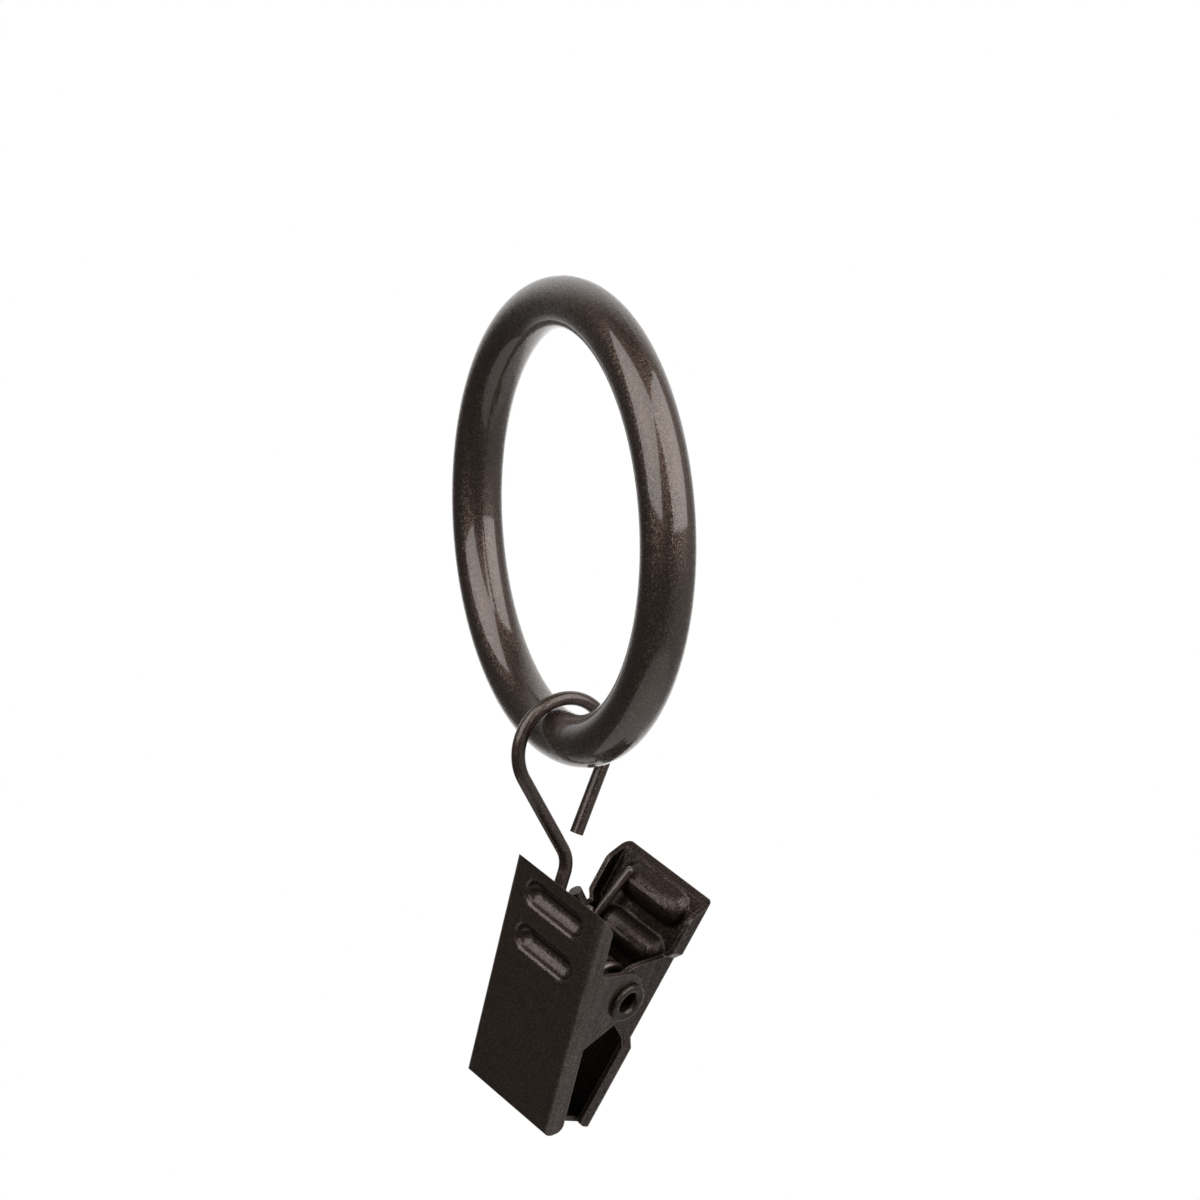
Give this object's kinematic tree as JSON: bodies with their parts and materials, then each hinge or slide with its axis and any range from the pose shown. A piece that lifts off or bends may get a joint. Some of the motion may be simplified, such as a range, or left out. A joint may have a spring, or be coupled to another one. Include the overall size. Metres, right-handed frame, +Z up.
{
  "type": "curtain ring with clip",
  "caption": "Closed round-bar curtain ring with a bent wire hook that carries a sprung two-jaw clip for holding a curtain's top edge.",
  "frame": {"origin": "centre of the ring", "axes": "+X along the ring's axis, the way a rod runs; +Z up as it hangs; +Y to the rear, so that the ring, hook and clip hang down along -Z"},
  "size_m": [0.0218, 0.0512, 0.0922],
  "materials": {
    "ring": "gloss clear-coated dark bronze lacquer",
    "hook": "satin dark bronze lacquer on wire",
    "front_jaw": "satin-gloss dark bronze lacquer on pressed sheet",
    "rear_jaw": "satin-gloss dark bronze lacquer on pressed sheet",
    "rivet": "satin dark bronze lacquer on a rolled tube",
    "spring": "satin dark bronze lacquer on spring wire"
  },
  "bodies": {
    "ring": {"ring": "ring"},
    "hook": {"hook": "hook"},
    "clip": {"front_jaw": "front_jaw", "rivet": "rivet", "spring": "spring"},
    "rear_jaw": {"rear_jaw": "rear_jaw"}
  },
  "joints": [
    {"name": "hook_swing", "type": "hinge", "parent": "ring", "child": "hook", "pos_m": [0, 0.00199, -0.02271], "axis": [0, 0.9962, 0.0872], "range_deg": [-100, 100]},
    {"name": "clip_swing", "type": "hinge", "parent": "hook", "child": "clip", "pos_m": [0.00306, 0.00238, -0.04865], "axis": [0.3132, -0.8748, -0.3697], "range_deg": [-15, 12]},
    {"name": "jaw_open", "type": "hinge", "parent": "clip", "child": "rear_jaw", "pos_m": [0.00306, 0.00238, -0.04865], "axis": [0.3132, -0.8748, -0.3697], "range_deg": [0, 22], "stiffness_Nm_per_rad": 0.06, "springref_deg": -34.38, "deforming": ["spring"]}
  ]
}
